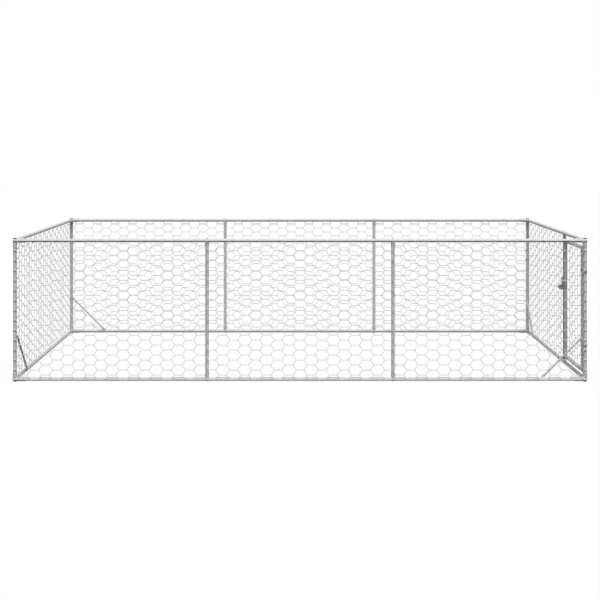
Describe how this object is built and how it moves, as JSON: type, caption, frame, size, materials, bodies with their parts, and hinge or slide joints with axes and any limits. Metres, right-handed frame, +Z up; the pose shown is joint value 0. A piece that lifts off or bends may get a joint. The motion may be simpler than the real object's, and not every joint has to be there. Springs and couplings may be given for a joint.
{
  "type": "outdoor dog kennel run",
  "caption": "Long low outdoor pet run of galvanised tube, open at the top and bottom, walled with hexagonal wire netting, with corner braces and a bolted door in one short wall.",
  "frame": {"origin": "on the ground under the middle of the run", "axes": "+X along the length, with the wall that holds the door at +X; -Y is the front wall; +Z is up"},
  "size_m": [4.0104, 2.0104, 1],
  "materials": {
    "galvanised_tube": "hot-dip galvanised, satin",
    "galvanised_fittings": "hot-dip galvanised, satin",
    "netting_wire": "bright galvanised wire",
    "zinc_fasteners": "bright zinc plated",
    "dark_plugs": "moulded, matte"
  },
  "bodies": {
    "frame": {"corner_post_front_left": "galvanised_tube", "corner_post_front_right": "galvanised_tube", "corner_post_back_left": "galvanised_tube", "corner_post_back_right": "galvanised_tube", "front_mid_post_left": "galvanised_tube", "front_mid_post_right": "galvanised_tube", "back_mid_post_left": "galvanised_tube", "back_mid_post_right": "galvanised_tube", "door_post": "galvanised_tube", "front_bottom_rail_left": "galvanised_tube", "front_bottom_rail_mid": "galvanised_tube", "front_bottom_rail_right": "galvanised_tube", "front_top_rail_left": "galvanised_tube", "front_top_rail_mid": "galvanised_tube", "front_top_rail_right": "galvanised_tube", "back_bottom_rail_left": "galvanised_tube", "back_bottom_rail_mid": "galvanised_tube", "back_bottom_rail_right": "galvanised_tube", "back_top_rail_left": "galvanised_tube", "back_top_rail_mid": "galvanised_tube", "back_top_rail_right": "galvanised_tube", "left_bottom_rail": "galvanised_tube", "left_top_rail": "galvanised_tube", "right_bottom_rail": "galvanised_tube", "right_top_rail": "galvanised_tube", "corner_fitting_front_left_bottom": "galvanised_fittings", "corner_fitting_front_left_top": "galvanised_fittings", "corner_fitting_front_right_bottom": "galvanised_fittings", "corner_fitting_front_right_top": "galvanised_fittings", "corner_fitting_back_left_bottom": "galvanised_fittings", "corner_fitting_back_left_top": "galvanised_fittings", "corner_fitting_back_right_bottom": "galvanised_fittings", "corner_fitting_back_right_top": "galvanised_fittings", "post_plugs": "dark_plugs", "post_saddles": "galvanised_fittings", "rail_bolts": "zinc_fasteners", "rail_nuts": "zinc_fasteners", "frame_screws": "zinc_fasteners", "brace_front_left": "galvanised_tube", "brace_front_right": "galvanised_tube", "brace_back_left": "galvanised_tube", "brace_back_right": "galvanised_tube", "front_netting": "netting_wire", "back_netting": "netting_wire", "left_netting": "netting_wire", "right_netting": "netting_wire", "hinge_post_straps": "galvanised_fittings", "hinge_pins": "zinc_fasteners", "hinge_nuts": "zinc_fasteners", "latch_keeper": "galvanised_fittings"},
    "door": {"door_hinge_stile": "galvanised_tube", "door_latch_stile": "galvanised_tube", "door_bottom_rail": "galvanised_tube", "door_top_rail": "galvanised_tube", "door_netting": "netting_wire", "hinge_door_straps": "galvanised_fittings", "latch_guide": "galvanised_fittings", "door_screws": "zinc_fasteners"},
    "sliding_bolt": {"latch_bolt": "zinc_fasteners"}
  },
  "joints": [
    {"name": "door_hinge", "type": "hinge", "parent": "frame", "child": "door", "pos_m": [1.9875, -0.9565, 0.514], "axis": [0, 0, -1], "range_deg": [-80, 110]},
    {"name": "bolt_slide", "type": "slide", "parent": "door", "child": "sliding_bolt", "axis": [0, 1, 0], "range_m": [0, 0.019]}
  ]
}
